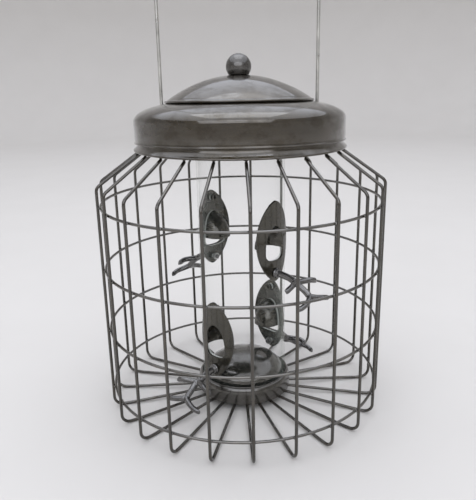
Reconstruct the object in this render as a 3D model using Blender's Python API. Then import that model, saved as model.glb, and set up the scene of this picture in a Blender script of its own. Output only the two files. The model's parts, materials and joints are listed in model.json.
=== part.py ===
"""Squirrel proof seed feeder: a clear seed tube with four ports and twig perches, standing in a spun steel
dish inside a round cage of bent wire. The cage hangs by its collar from a wire bail. A spun cover slides up
the bail, and a domed filler lid with a ball knob lifts off the cover's mouth.

Metres, +Z up, origin at the bottom centre of the cage. The front is -Y."""

from math import acos, cos, degrees, pi, radians, sin, sqrt

import bmesh
import bpy
from mathutils import Matrix, Vector

# Clearances between pieces that touch, and how far a cutter runs past what it cuts
GAP = 0.0003
OVERRUN = 0.004

# Cage of upright bars, each one wire bent from under the collar to under the dish
CAGE_RADIUS = 0.1150
BAR_COUNT = 23
BAR_RADIUS = 0.00125
BAR_SIDES = 6
FIRST_BAR_ANGLE = radians(2.85)
SHOULDER_HEIGHT = 0.1887
SHOULDER_BEND = 0.0050
FOOT_BEND = 0.0075
FOOT_RUN = 0.0060
FLOOR_RISE = 0.0030
BAR_END_RADIUS = 0.0270

# Hoops welded inside the bars
HOOP_COUNT = 4
HOOP_WIRE_RADIUS = 0.0011
LOWEST_HOOP_RISE = 0.0191
HIGHEST_HOOP_DROP = 0.0155
HUB_HOOP_INSET = 0.0030

# Collar that the bars are welded under
COLLAR_RISE = 0.0261
COLLAR_NECK_RADIUS = 0.0806
COLLAR_LIP = 0.0036
COLLAR_FLARE_HEIGHT = 0.0062
COLLAR_SHEET = 0.0010

# Cover with a straight skirt, a domed crown and an upturned mouth
COVER_SHEET = 0.0009
COVER_CLEARANCE = 0.0015
SKIRT_RISE = 0.0069
SKIRT_LENGTH = 0.0158
CROWN_RISE = 0.0146
CROWN_POWER = 2.6
MOUTH_RADIUS = 0.0500
MOUTH_RISE = 0.0056
HEM = 0.0006
BAIL_HOLE_RADIUS = 0.0022

# Domed filler lid and its knob
LID_OVERHANG = 0.0074
LID_RISE = 0.0175
LID_SHEET = 0.0009
LID_HEM = 0.0009
KNOB_RADIUS = 0.0100
KNOB_SEAT_RADIUS = 0.0070
KNOB_STUD_RADIUS = 0.0020
KNOB_STUD_LENGTH = 0.0060
KNOB_NUT_WIDTH = 0.0070
KNOB_NUT_THICKNESS = 0.0024

# Wire bail, hooked under the top plate
BAIL_WIRE_RADIUS = 0.0013
BAIL_CLEARANCE = 0.0014
BAIL_LENGTH = 0.1249
BAIL_HOOK_BEND = 0.0030
BAIL_HOOK_LENGTH = 0.0040

# Plate inside the collar that carries the bail and steadies the tube
TOP_PLATE_RISE = 0.0053
TOP_PLATE_SHEET = 0.0010
TOP_PLATE_FLANGE = 0.0050

# Clear seed tube and the metal band round its mouth
TUBE_RADIUS = 0.0360
TUBE_WALL = 0.0018
BAND_SHEET = 0.0009
BAND_FLANGE = 0.0030
BAND_HEIGHT = 0.0202

# Spun dish, seed baffle and the parts that clamp them to the cage floor
DISH_FLARE = 0.0043
DISH_HEIGHT = 0.0147
DISH_SHEET = 0.0012
DISH_SHOULDER = 0.0030
DISH_FLOOR_HEIGHT = 0.0042
BAFFLE_CLEARANCE = 0.0006
BAFFLE_SHEET = 0.0010
BAFFLE_SKIRT = 0.0088
BAFFLE_RISE = 0.0162
CLAMP_GRIP = 0.0060
CLAMP_SHEET = 0.0010
BASE_SCREW_RADIUS = 0.0020
BASE_SCREW_LENGTH = 0.0150
BASE_SCREW_HEAD_RADIUS = 0.0042
BASE_SCREW_HEAD = 0.0009
BASE_NUT_WIDTH = 0.0080
BASE_NUT_THICKNESS = 0.0034

# Port castings: a leaf that hugs the tube, an arched opening and a hood inside the tube
PORT_WIDTH = 0.0368
PORT_LENGTH = 0.0660
PORT_SHEET = 0.0018
PORT_TIP_POWER = 0.65
PORT_ANGLES = (radians(45), radians(225), radians(-40), radians(135))
LOWEST_PORT_RISE = 0.0147
PORT_PITCH = 0.0828
OPENING_WIDTH = 0.0200
OPENING_LENGTH = 0.0280
OPENING_SILL = 0.0175
HOOD_SILL = 0.0270
HOOD_DEPTH = 0.0165
HOOD_SHEET = 0.0012
BOSS_DROP = 0.0062
BOSS_RADIUS = 0.0026
BOSS_BORE_RADIUS = 0.0012
BOSS_LENGTH = 0.0052
CUTOUT_CLEARANCE = 0.0006

# Twig perches: a stud through port and tube, two collars, a stem and two forks
STUD_RISE = 0.0070
STUD_RADIUS = 0.0016
STUD_INSET = 0.0046
PERCH_NUT_WIDTH = 0.0055
PERCH_NUT_THICKNESS = 0.0024
PERCH_COLLAR_RADIUS = 0.0040
PERCH_COLLAR_WIDTH = 0.0011
PERCH_GROOVE_RADIUS = 0.0030
STEM_RADIUS = 0.0023
TWIG_RADIUS = 0.0017
FIRST_FORK_REACH = 0.0590
FIRST_FORK_DROP = 0.0038
SECOND_FORK_REACH = 0.0732
SECOND_FORK_DROP = 0.0120
FIRST_TWIG_REACH = 0.0638
FIRST_TWIG_DROP = 0.0052
SECOND_TWIG_REACH = 0.0773
SECOND_TWIG_DROP = 0.0165
TWIG_SPREAD = 0.0185
TWIG_BOW = 0.0022

# How finely round shapes are divided
HOOP_STEPS = 2 * BAR_COUNT
COVER_STEPS = 46
LID_STEPS = 38
TUBE_STEPS = 36
SMALL_STEPS = 12

# Heights and radii that follow from the sizes above
BAR_FLAT = BAR_RADIUS * cos(pi / BAR_SIDES)
FLOOR_CENTRE = BAR_FLAT
COLLAR_HEIGHT = SHOULDER_HEIGHT + COLLAR_RISE
TOP_PLATE_HEIGHT = COLLAR_HEIGHT + TOP_PLATE_RISE
BAND_SEAT = TOP_PLATE_HEIGHT + TOP_PLATE_SHEET + GAP
SKIRT_HEIGHT = COLLAR_HEIGHT + SKIRT_RISE
CROWN_HEIGHT = SKIRT_HEIGHT + SKIRT_LENGTH
HUB_CENTRE = FLOOR_CENTRE + FLOOR_RISE
HUB_TOP = HUB_CENTRE + BAR_FLAT
NECK_INSIDE = COLLAR_NECK_RADIUS - COLLAR_SHEET
COLLAR_LIP_RADIUS = COLLAR_NECK_RADIUS + COLLAR_LIP
SKIRT_INSIDE = COLLAR_NECK_RADIUS + COVER_CLEARANCE
COVER_RADIUS = SKIRT_INSIDE + COVER_SHEET
MOUTH_OUTSIDE = MOUTH_RADIUS + COVER_SHEET
LID_RADIUS = MOUTH_OUTSIDE + LID_OVERHANG
BAIL_HALF_SPAN = LID_RADIUS + BAIL_CLEARANCE + BAIL_WIRE_RADIUS
HOLE_RADIUS_AT_TUBE = TUBE_RADIUS + 2 * GAP + BAND_SHEET
TUBE_INSIDE = TUBE_RADIUS - TUBE_WALL
STUD_END_RADIUS = TUBE_INSIDE - STUD_INSET
DISH_RADIUS = TUBE_RADIUS + DISH_FLARE
HUB_RADIUS = DISH_RADIUS + BAR_RADIUS
HUB_HOOP_RADIUS = BAR_END_RADIUS + HUB_HOOP_INSET
CLAMP_RADIUS = BAR_END_RADIUS + CLAMP_GRIP
BAFFLE_RADIUS = TUBE_INSIDE - BAFFLE_CLEARANCE
PORT_INSIDE = TUBE_RADIUS + GAP
PORT_OUTSIDE = PORT_INSIDE + PORT_SHEET
DISH_BOTTOM = HUB_TOP + GAP
DISH_FLOOR_TOP = DISH_BOTTOM + DISH_FLOOR_HEIGHT + DISH_SHEET
BAFFLE_BOTTOM = DISH_FLOOR_TOP + GAP
TUBE_BOTTOM = BAFFLE_BOTTOM + BAFFLE_SHEET + GAP
TUBE_TOP = BAND_SEAT + BAND_HEIGHT - BAND_SHEET - GAP
LOWER_PORT_HEIGHT = TUBE_BOTTOM + LOWEST_PORT_RISE
UPPER_PORT_HEIGHT = LOWER_PORT_HEIGHT + PORT_PITCH
CLAMP_BOTTOM = HUB_CENTRE - BAR_FLAT - GAP - CLAMP_SHEET


def crown(radius, drop=0.0):
    """Height of the cover's crown at a radius, or of a surface that lies drop inside it."""
    share = min(1.0, radius / (COVER_RADIUS - drop))
    return CROWN_HEIGHT + (CROWN_RISE - drop) * (1 - share**CROWN_POWER) ** (1 / CROWN_POWER)


MOUTH_TOP = crown(MOUTH_OUTSIDE) + MOUTH_RISE
NECK_TOP = crown(COLLAR_NECK_RADIUS, COVER_SHEET) - GAP
LID_SPHERE = (LID_RADIUS**2 + LID_RISE**2) / (2 * LID_RISE)
LID_CENTRE = MOUTH_TOP + GAP - sqrt((LID_SPHERE - LID_SHEET) ** 2 - MOUTH_OUTSIDE**2)
LID_TOP = LID_CENTRE + LID_SPHERE
LID_RIM = LID_TOP - LID_RISE


def clear_scene():
    for obj in list(bpy.data.objects):
        bpy.data.objects.remove(obj)


def paint(name, colour, roughness, metallic, alpha=1.0):
    """A Principled material of one colour."""
    made = bpy.data.materials.new(name)
    made.use_nodes = True
    shader = made.node_tree.nodes["Principled BSDF"]
    shader.inputs["Base Color"].default_value = (*colour, 1.0)
    shader.inputs["Roughness"].default_value = roughness
    shader.inputs["Metallic"].default_value = metallic
    shader.inputs["Alpha"].default_value = alpha
    made.diffuse_color = (*colour, alpha)
    return made


def empty(name, height, parent=None):
    """An empty on the feeder's axis, which carries what lifts together."""
    made = bpy.data.objects.new(name, None)
    bpy.context.scene.collection.objects.link(made)
    made.location.z = height
    if parent:
        made.parent = parent
        made.location.z = height - parent.location.z
    return made


def link(name, mesh, material=None, carrier=None):
    """Puts a mesh that is drawn in the part's own frame into the scene, carried by an empty or by nothing."""
    made = bpy.data.objects.new(name, mesh)
    bpy.context.scene.collection.objects.link(made)
    if material and not mesh.materials:
        mesh.materials.append(material)
    if carrier:
        made.parent = carrier
        heights = [carrier.location.z]
        while carrier.parent:
            carrier = carrier.parent
            heights.append(carrier.location.z)
        mesh.transform(Matrix.Translation((0, 0, -sum(heights))))
    return made


def mesh_of(shape, name="shape"):
    """Closes a bmesh into a mesh whose faces point out."""
    bmesh.ops.recalc_face_normals(shape, faces=shape.faces)
    mesh = bpy.data.meshes.new(name)
    shape.to_mesh(mesh)
    shape.free()
    return mesh


def smoothed(mesh, angle=radians(38)):
    mesh.shade_smooth()
    mesh.set_sharp_from_angle(angle=angle)
    return mesh


def baked(obj):
    """The object's mesh with its modifiers applied. The object and the cutters it used are removed."""
    graph = bpy.context.evaluated_depsgraph_get()
    mesh = bpy.data.meshes.new_from_object(obj.evaluated_get(graph))
    for modifier in list(obj.modifiers):
        if modifier.type == "BOOLEAN":
            bpy.data.objects.remove(modifier.object)
    bpy.data.objects.remove(obj)
    return smoothed(mesh)


def combine(obj, mesh, operation):
    """Adds a mesh to an object, or cuts it out, by a Boolean with a hidden helper."""
    helper = link("helper", mesh)
    helper.hide_render = True
    helper.display_type = "WIRE"
    modifier = obj.modifiers.new(operation, "BOOLEAN")
    modifier.operation = operation
    modifier.solver = "EXACT"
    modifier.object = helper


def lathe(profile, steps, closed=True):
    """Turns a profile of (radius, height) about Z. It runs down the outside, then back up the inside."""
    mesh = bpy.data.meshes.new("profile")
    count = len(profile)
    edges = [(i, i + 1) for i in range(count - 1)]
    if closed:
        edges.append((count - 1, 0))
    mesh.from_pydata([(r, 0, z) for r, z in profile], edges, [])
    obj = link("turned", mesh)
    screw = obj.modifiers.new("turn", "SCREW")
    screw.axis = "Z"
    screw.angle = 2 * pi
    screw.steps = screw.render_steps = steps
    screw.use_merge_vertices = True
    screw.merge_threshold = 1e-6
    return baked(obj)


def rounded(corners, bends, steps):
    """A path through 2D corners, each inner corner replaced by an arc of its bend radius."""
    path = [Vector(corners[0])]
    for before, corner, after, bend in zip(corners, corners[1:], corners[2:], bends):
        corner = Vector(corner)
        back = (Vector(before) - corner).normalized()
        ahead = (Vector(after) - corner).normalized()
        half = back.angle(ahead) / 2
        centre = corner + (back + ahead).normalized() * bend / sin(half)
        start = corner + back * bend * cos(half) / sin(half) - centre
        sweep = pi - 2 * half
        turn = 1 if back.x * ahead.y - back.y * ahead.x < 0 else -1
        for i in range(steps + 1):
            angle = turn * sweep * i / steps
            path.append(centre + Matrix.Rotation(angle, 2) @ start)
    path.append(Vector(corners[-1]))
    return path


def swept(path, radii, sides, across, closed=False, tip=0.0):
    """A round wire along a path. Radii is one radius or one for each point, and across is a direction that
    the path is square to, or nearly. With a tip, the far end is rounded off by that share of its radius."""
    points = [Vector(p) for p in path]
    radii = list(radii) if hasattr(radii, "__len__") else [radii] * len(points)
    if tip:
        direction = (points[-1] - points[-2]).normalized()
        end, radius = points[-1], radii[-1]
        points[-1] = end - direction * radius * tip
        for angle in (radians(40), radians(75)):
            points.append(end - direction * radius * tip * (1 - sin(angle)))
            radii.append(radius * cos(angle))
    shape = bmesh.new()
    loops = []
    count = len(points)
    for i, point in enumerate(points):
        before = points[i - 1] if i or closed else None
        after = points[(i + 1) % count] if i < count - 1 or closed else None
        into = (point - before).normalized() if before is not None else (after - point).normalized()
        out = (after - point).normalized() if after is not None else into
        along = (into + out).normalized()
        side = (across - along * along.dot(across)).normalized()
        mitre = side.cross(along) / max(along.dot(out), cos(radians(60)))
        ring = []
        for k in range(sides):
            angle = 2 * pi * k / sides
            ring.append(shape.verts.new(point + radii[i] * (side * cos(angle) + mitre * sin(angle))))
        loops.append(ring)
    pairs = list(zip(loops, loops[1:]))
    if closed:
        pairs.append((loops[-1], loops[0]))
    for low, high in pairs:
        for k in range(sides):
            shape.faces.new((low[k], low[k - 1], high[k - 1], high[k]))
    if not closed:
        shape.faces.new(loops[0])
        shape.faces.new(loops[-1])
    return mesh_of(shape)


def lofted(sections):
    """A closed solid through sections, each a loop of as many points."""
    shape = bmesh.new()
    loops = [[shape.verts.new(p) for p in section] for section in sections]
    for low, high in zip(loops, loops[1:]):
        for k in range(len(low)):
            shape.faces.new((low[k], low[k - 1], high[k - 1], high[k]))
    shape.faces.new(loops[0])
    shape.faces.new(loops[-1])
    return mesh_of(shape)


def rod(radius, start, end, sides=SMALL_STEPS):
    """A plain round bar between two points, used for studs and for drilling holes."""
    start, end = Vector(start), Vector(end)
    across = Vector((0, 1, 0)) if abs((end - start).normalized().y) < sin(radians(45)) else Vector((1, 0, 0))
    return swept([start, end], radius, sides, across)


def hexagon_nut(width, bore, thickness, place, along):
    """A hexagonal nut with its near face at place, along X or Z."""
    corner = width / 2 / cos(pi / 6)
    direction = Vector(along)
    body = link("nut", rod(corner, place, Vector(place) + direction * thickness, 6))
    past = direction * OVERRUN
    combine(body, rod(bore, Vector(place) - past, Vector(place) + direction * thickness + past), "DIFFERENCE")
    return baked(body)


def arc(centre, radius, start, end, steps):
    """Points (radius, height) on an arc between two angles in degrees."""
    angles = [radians(start + (end - start) * i / steps) for i in range(steps + 1)]
    return [(centre[0] + radius * cos(a), centre[1] + radius * sin(a)) for a in angles]


def make_bars(metal):
    """Each bar lies in one upright plane through the axis: collar, shoulder, foot and floor."""
    slope = Vector((CAGE_RADIUS - COLLAR_NECK_RADIUS, SHOULDER_HEIGHT - COLLAR_HEIGHT)).normalized()
    seat = COLLAR_HEIGHT + HEM - GAP - BAR_FLAT * slope.x
    top = (NECK_INSIDE + BAR_FLAT * slope.y, seat)
    corners = [
        top,
        (CAGE_RADIUS, SHOULDER_HEIGHT),
        (CAGE_RADIUS, FLOOR_CENTRE),
        (CAGE_RADIUS - FOOT_BEND - FOOT_RUN, FLOOR_CENTRE),
        (HUB_RADIUS, HUB_CENTRE),
        (BAR_END_RADIUS, HUB_CENTRE),
    ]
    bent = rounded(corners[:4], (SHOULDER_BEND, FOOT_BEND), 3)
    path = [(r, 0, z) for r, z in [*bent, *corners[4:]]]
    mesh = smoothed(swept(path, BAR_RADIUS, BAR_SIDES, Vector((0, 1, 0))), radians(75))
    for i in range(BAR_COUNT):
        bar = link(f"bar_{i + 1:02d}", mesh, metal)
        bar.rotation_euler.z = FIRST_BAR_ANGLE + 2 * pi * i / BAR_COUNT - pi / 2


def make_hoops(metal):
    """The hoops lie inside the bars, and a small one lies on the floor bars under the dish."""
    cage_hoop = CAGE_RADIUS - BAR_FLAT - GAP - HOOP_WIRE_RADIUS
    step = (SHOULDER_HEIGHT - HIGHEST_HOOP_DROP - LOWEST_HOOP_RISE) / (HOOP_COUNT - 1)
    hoops = [(f"hoop_{i + 1}", cage_hoop, LOWEST_HOOP_RISE + step * i, HOOP_STEPS) for i in range(HOOP_COUNT)]
    hoops.append(("hub_hoop", HUB_HOOP_RADIUS, HUB_TOP + GAP + HOOP_WIRE_RADIUS, BAR_COUNT))
    for name, radius, height, steps in hoops:
        angles = [FIRST_BAR_ANGLE - pi / 2 + 2 * pi * i / steps for i in range(steps)]
        path = [(radius * cos(a), radius * sin(a), height) for a in angles]
        mesh = swept(path, HOOP_WIRE_RADIUS, BAR_SIDES, Vector((0, 0, 1)), closed=True)
        link(name, smoothed(mesh, radians(75)), metal)


def make_collar(metal):
    """A neck that flares into a rolled lip. The bars' ends meet its flat underside."""
    flare = COLLAR_HEIGHT + COLLAR_FLARE_HEIGHT
    profile = [
        (COLLAR_NECK_RADIUS, NECK_TOP),
        (COLLAR_NECK_RADIUS, flare),
        (COLLAR_NECK_RADIUS + COLLAR_LIP / 6, flare - COLLAR_FLARE_HEIGHT / 2.4),
        (COLLAR_NECK_RADIUS + COLLAR_LIP / 2, COLLAR_HEIGHT + COLLAR_FLARE_HEIGHT / 3.4),
        (COLLAR_LIP_RADIUS - HEM / 2, COLLAR_HEIGHT + 2 * HEM),
        (COLLAR_LIP_RADIUS, COLLAR_HEIGHT + HEM),
        (COLLAR_LIP_RADIUS - HEM / 2, COLLAR_HEIGHT),
        (COLLAR_LIP_RADIUS - COLLAR_LIP / 2, COLLAR_HEIGHT),
        (COLLAR_NECK_RADIUS, COLLAR_HEIGHT + HEM),
        (NECK_INSIDE, COLLAR_HEIGHT + HEM),
        (NECK_INSIDE, NECK_TOP),
    ]
    link("collar", lathe(profile, COVER_STEPS), metal)


def bail_path():
    """Half of the bail's wire, from its hook under the top plate to the crown of the arch."""
    under = TOP_PLATE_HEIGHT - GAP - BAIL_WIRE_RADIUS
    hook = [(BAIL_HALF_SPAN - BAIL_HOOK_BEND - BAIL_HOOK_LENGTH, under)]
    shoulder = TOP_PLATE_HEIGHT + BAIL_LENGTH
    corner = [*hook, (BAIL_HALF_SPAN, under), (BAIL_HALF_SPAN, shoulder)]
    crown_half = arc((0, shoulder), BAIL_HALF_SPAN, 0, 90, 8)
    return rounded(corner, (BAIL_HOOK_BEND,), 3)[:-1] + [Vector(p) for p in crown_half]


def make_bail(wire):
    half = bail_path()
    path = [(x, 0, z) for x, z in half] + [(-x, 0, z) for x, z in reversed(half[:-1])]
    mesh = swept(path, BAIL_WIRE_RADIUS, BAR_SIDES + 2, Vector((0, 1, 0)))
    link("bail", smoothed(mesh, radians(60)), wire)


def drill_for_bail(obj, radius, inset=0.0):
    """Two upright holes where the bail's wires pass."""
    for side in (1, -1):
        x = side * (BAIL_HALF_SPAN - inset)
        combine(obj, rod(radius, (x, 0, TOP_PLATE_HEIGHT - OVERRUN), (x, 0, LID_TOP)), "DIFFERENCE")


def make_top_plate(metal):
    """A disc welded inside the collar's neck, with a raised lip round the tube and a flange at its rim."""
    outer = NECK_INSIDE - GAP
    low, high = TOP_PLATE_HEIGHT, TOP_PLATE_HEIGHT + TOP_PLATE_SHEET
    profile = [
        (outer - TOP_PLATE_SHEET, low + TOP_PLATE_FLANGE),
        (outer, low + TOP_PLATE_FLANGE),
        (outer, low),
        (HOLE_RADIUS_AT_TUBE, low),
        (HOLE_RADIUS_AT_TUBE, high),
        (outer - TOP_PLATE_SHEET, high),
    ]
    plate = link("plate", lathe(profile, TUBE_STEPS))
    drill_for_bail(plate, BAIL_HOLE_RADIUS + GAP, GAP)
    link("top_plate", baked(plate), metal)


def make_cover(metal, carrier):
    """A straight hemmed skirt, a domed crown and an upturned mouth, in one spun sheet."""
    outer_shares = (0.17, 0.38, 0.615, 0.795, 0.91, 0.974, 0.997)
    inner_shares = (0.85, 0.64, 0.33)
    outer = [MOUTH_OUTSIDE + (COVER_RADIUS - MOUTH_OUTSIDE) * share for share in outer_shares]
    inner = [MOUTH_RADIUS + (COLLAR_NECK_RADIUS - MOUTH_RADIUS) * share for share in inner_shares]
    inner = [SKIRT_INSIDE - COVER_CLEARANCE / 4, COLLAR_NECK_RADIUS, *inner]
    profile = [
        (MOUTH_RADIUS, MOUTH_TOP),
        (MOUTH_OUTSIDE, MOUTH_TOP),
        (MOUTH_OUTSIDE, crown(MOUTH_OUTSIDE) + COVER_SHEET),
        *[(r, crown(r)) for r in outer],
        (COVER_RADIUS, CROWN_HEIGHT),
        (COVER_RADIUS, SKIRT_HEIGHT + 3 * HEM),
        (COVER_RADIUS + HEM, SKIRT_HEIGHT + 2 * HEM),
        (COVER_RADIUS + HEM, SKIRT_HEIGHT + HEM),
        (COVER_RADIUS, SKIRT_HEIGHT),
        (SKIRT_INSIDE, SKIRT_HEIGHT),
        (SKIRT_INSIDE, CROWN_HEIGHT),
        *[(r, crown(r, COVER_SHEET)) for r in inner],
        (MOUTH_RADIUS, crown(MOUTH_RADIUS, COVER_SHEET)),
    ]
    cover = link("spun", lathe(profile, COVER_STEPS))
    drill_for_bail(cover, BAIL_HOLE_RADIUS)
    link("cover", baked(cover), metal, carrier)


def make_lid(metal, carrier):
    """A shallow dome with a rolled rim. Its underside rests on the top edge of the cover's mouth."""
    inner_sphere = LID_SPHERE - LID_SHEET
    hole = KNOB_STUD_RADIUS + GAP
    outer_shares = (0.2, 0.4, 0.6, 0.8, 0.93)
    inner_shares = (1, 0.66, 0.33)
    outer = [LID_RADIUS * share for share in outer_shares]
    inner = [MOUTH_OUTSIDE * share for share in inner_shares]
    profile = [
        (hole, LID_CENTRE + sqrt(LID_SPHERE**2 - hole**2)),
        *[(r, LID_CENTRE + sqrt(LID_SPHERE**2 - r**2)) for r in outer],
        (LID_RADIUS - LID_HEM / 2, LID_RIM + LID_HEM / 4),
        (LID_RADIUS, LID_RIM - LID_HEM / 3),
        (LID_RADIUS - LID_HEM / 3, LID_RIM - LID_HEM),
        (LID_RADIUS - LID_HEM, LID_RIM - LID_HEM),
        *[(r, LID_CENTRE + sqrt(inner_sphere**2 - r**2)) for r in inner],
        (hole, LID_CENTRE + sqrt(inner_sphere**2 - hole**2)),
    ]
    link("filler_lid", lathe(profile, LID_STEPS), metal, carrier)


def make_knob(metal, zinc, carrier):
    """A ball with a flat seat and a stud, held by a nut under the lid."""
    seat = LID_TOP + GAP
    centre = seat + sqrt(KNOB_RADIUS**2 - KNOB_SEAT_RADIUS**2)
    ball = arc((0, centre), KNOB_RADIUS, 90, -degrees(acos(KNOB_SEAT_RADIUS / KNOB_RADIUS)), 8)[1:]
    stud_end = seat - KNOB_STUD_LENGTH
    profile = [
        (0, centre + KNOB_RADIUS),
        *ball,
        (KNOB_STUD_RADIUS, seat),
        (KNOB_STUD_RADIUS, stud_end),
        (0, stud_end),
    ]
    link("knob", lathe(profile, 2 * SMALL_STEPS, closed=False), metal, carrier)
    under = LID_TOP - LID_SHEET - GAP - LID_SHEET / 4
    place = (0, 0, under - KNOB_NUT_THICKNESS)
    nut = hexagon_nut(KNOB_NUT_WIDTH, KNOB_STUD_RADIUS + GAP, KNOB_NUT_THICKNESS, place, (0, 0, 1))
    link("knob_nut", nut, zinc, carrier)


def make_band(metal):
    """A flanged ring round the tube's mouth. Its flange rests on the top plate."""
    inner = TUBE_RADIUS + GAP
    outer = inner + BAND_SHEET
    lip = TUBE_TOP + GAP
    profile = [
        (TUBE_INSIDE, lip + BAND_SHEET),
        (outer, lip + BAND_SHEET),
        (outer, BAND_SEAT + BAND_SHEET),
        (outer + BAND_FLANGE, BAND_SEAT + BAND_SHEET),
        (outer + BAND_FLANGE, BAND_SEAT),
        (inner, BAND_SEAT),
        (inner, lip),
        (TUBE_INSIDE, lip),
    ]
    link("tube_band", lathe(profile, TUBE_STEPS), metal)


def arch(width, low, waist, high, steps=8):
    """Points (across, height) round an opening: an ellipse above its waist, a squarer curve below."""
    turns = [pi * i / steps for i in range(steps + 1)]
    above = [(width / 2 * cos(a), waist + (high - waist) * sin(a)) for a in turns]
    below = []
    for angle in turns[1:-1]:
        across = -cos(angle)
        side = 1 if across > 0 else -1
        height = waist - (waist - low) * sin(angle) ** (2 / 3)
        below.append((width / 2 * side * abs(across) ** (2 / 3), height))
    return above + below


def hood_section(reach, rise, bent=True, steps=8):
    """The outside of the hood at one reach from the tube's axis: flat below, elliptical above."""
    half = OPENING_WIDTH / 2 + HOOD_SHEET
    section = []
    for i in range(steps + 1):
        angle = pi * i / steps
        across = half * cos(angle)
        x = sqrt(reach**2 - across**2) if bent else reach
        section.append((x, across, HOOD_SILL + rise * sin(angle)))
    return section


def leaf_slab():
    """The port's leaf: a pointed oval bent round the tube, with its lowest tip at height zero."""
    rows, columns = 9, 6
    shape = bmesh.new()
    skins = []
    for radius in (PORT_OUTSIDE, PORT_INSIDE):
        tips = [shape.verts.new((radius, 0, height)) for height in (0, PORT_LENGTH)]
        grid = []
        for i in range(1, rows):
            share = -cos(pi * i / rows)
            half = PORT_WIDTH / 2 * (1 - share**2) ** PORT_TIP_POWER
            row = []
            for k in range(columns + 1):
                turn = half / PORT_OUTSIDE * (2 * k / columns - 1)
                height = PORT_LENGTH / 2 * (1 + share)
                row.append(shape.verts.new((radius * cos(turn), radius * sin(turn), height)))
            grid.append(row)
        for low, high in zip(grid, grid[1:]):
            for k in range(columns):
                shape.faces.new((low[k], low[k + 1], high[k + 1], high[k]))
        for k in range(columns):
            shape.faces.new((tips[0], grid[0][k + 1], grid[0][k]))
            shape.faces.new((tips[1], grid[-1][k], grid[-1][k + 1]))
        edge = [tips[0], *[row[0] for row in grid], tips[1], *[row[-1] for row in reversed(grid)]]
        skins.append(edge)
    for k in range(len(skins[0])):
        shape.faces.new((skins[0][k - 1], skins[0][k], skins[1][k], skins[1][k - 1]))
    return mesh_of(shape)


def port_mesh():
    """The leaf with its opening, hood, locating boss and stud hole, facing +X."""
    port = link("port", leaf_slab())
    boss = PORT_LENGTH - BOSS_DROP
    far, near = PORT_OUTSIDE + OVERRUN, PORT_INSIDE - OVERRUN
    mid_sheet = PORT_OUTSIDE - PORT_SHEET / 2
    inner_end = PORT_INSIDE - HOOD_DEPTH
    rise = OPENING_SILL + OPENING_LENGTH - HOOD_SILL
    roof = HOOD_SHEET * sqrt(1 + (rise / HOOD_DEPTH) ** 2)
    hood = [
        hood_section(mid_sheet, rise + roof),
        hood_section(PORT_INSIDE, rise + roof),
        hood_section(inner_end, roof, bent=False),
    ]
    hollow_rise = rise * HOOD_SHEET / HOOD_DEPTH
    hollow = []
    for reach, height in ((far, rise), (PORT_INSIDE, rise), (inner_end + HOOD_SHEET, hollow_rise)):
        outline = arch(OPENING_WIDTH, OPENING_SILL, HOOD_SILL, HOOD_SILL + height)
        hollow.append([(reach, y, z) for y, z in outline])
    combine(port, lofted(hood), "UNION")
    combine(port, rod(BOSS_RADIUS, (mid_sheet - BOSS_LENGTH, 0, boss), (mid_sheet, 0, boss)), "UNION")
    combine(port, lofted(hollow), "DIFFERENCE")
    combine(port, rod(BOSS_BORE_RADIUS, (inner_end, 0, boss), (PORT_INSIDE, 0, boss), 8), "DIFFERENCE")
    combine(port, rod(STUD_RADIUS + GAP, (near, 0, STUD_RISE), (far, 0, STUD_RISE)), "DIFFERENCE")
    return baked(port)


def port_places():
    """Angle about the axis and height of each port: one pair faces the other pair's quarters."""
    heights = (UPPER_PORT_HEIGHT, UPPER_PORT_HEIGHT, LOWER_PORT_HEIGHT, LOWER_PORT_HEIGHT)
    return [(angle - pi / 2, height) for angle, height in zip(PORT_ANGLES, heights)]


def make_tube(clear):
    """The clear tube, cut for each port's opening and hood, boss and stud."""
    profile = [
        (TUBE_INSIDE, TUBE_TOP),
        (TUBE_RADIUS, TUBE_TOP),
        (TUBE_RADIUS, TUBE_BOTTOM),
        (TUBE_INSIDE, TUBE_BOTTOM),
    ]
    tube = link("tube", lathe(profile, TUBE_STEPS))
    rise = OPENING_SILL + OPENING_LENGTH - HOOD_SILL
    roof = HOOD_SHEET * sqrt(1 + (rise / HOOD_DEPTH) ** 2)
    wide = OPENING_WIDTH + 2 * (HOOD_SHEET + CUTOUT_CLEARANCE)
    high = HOOD_SILL + rise + roof + CUTOUT_CLEARANCE
    outline = arch(wide, OPENING_SILL - CUTOUT_CLEARANCE, HOOD_SILL, high)
    boss = PORT_LENGTH - BOSS_DROP
    near, far = TUBE_INSIDE - OVERRUN, TUBE_RADIUS + OVERRUN
    for angle, height in port_places():
        place = Matrix.Rotation(angle, 4, "Z") @ Matrix.Translation((0, 0, height))
        cutters = (
            lofted([[(reach, y, z) for y, z in outline] for reach in (near, far)]),
            rod(BOSS_RADIUS + GAP, (near, 0, boss), (far, 0, boss)),
            rod(STUD_RADIUS + GAP, (near, 0, STUD_RISE), (far, 0, STUD_RISE)),
        )
        for cutter in cutters:
            cutter.transform(place)
            combine(tube, cutter, "DIFFERENCE")
    link("seed_tube", baked(tube), clear)


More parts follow.
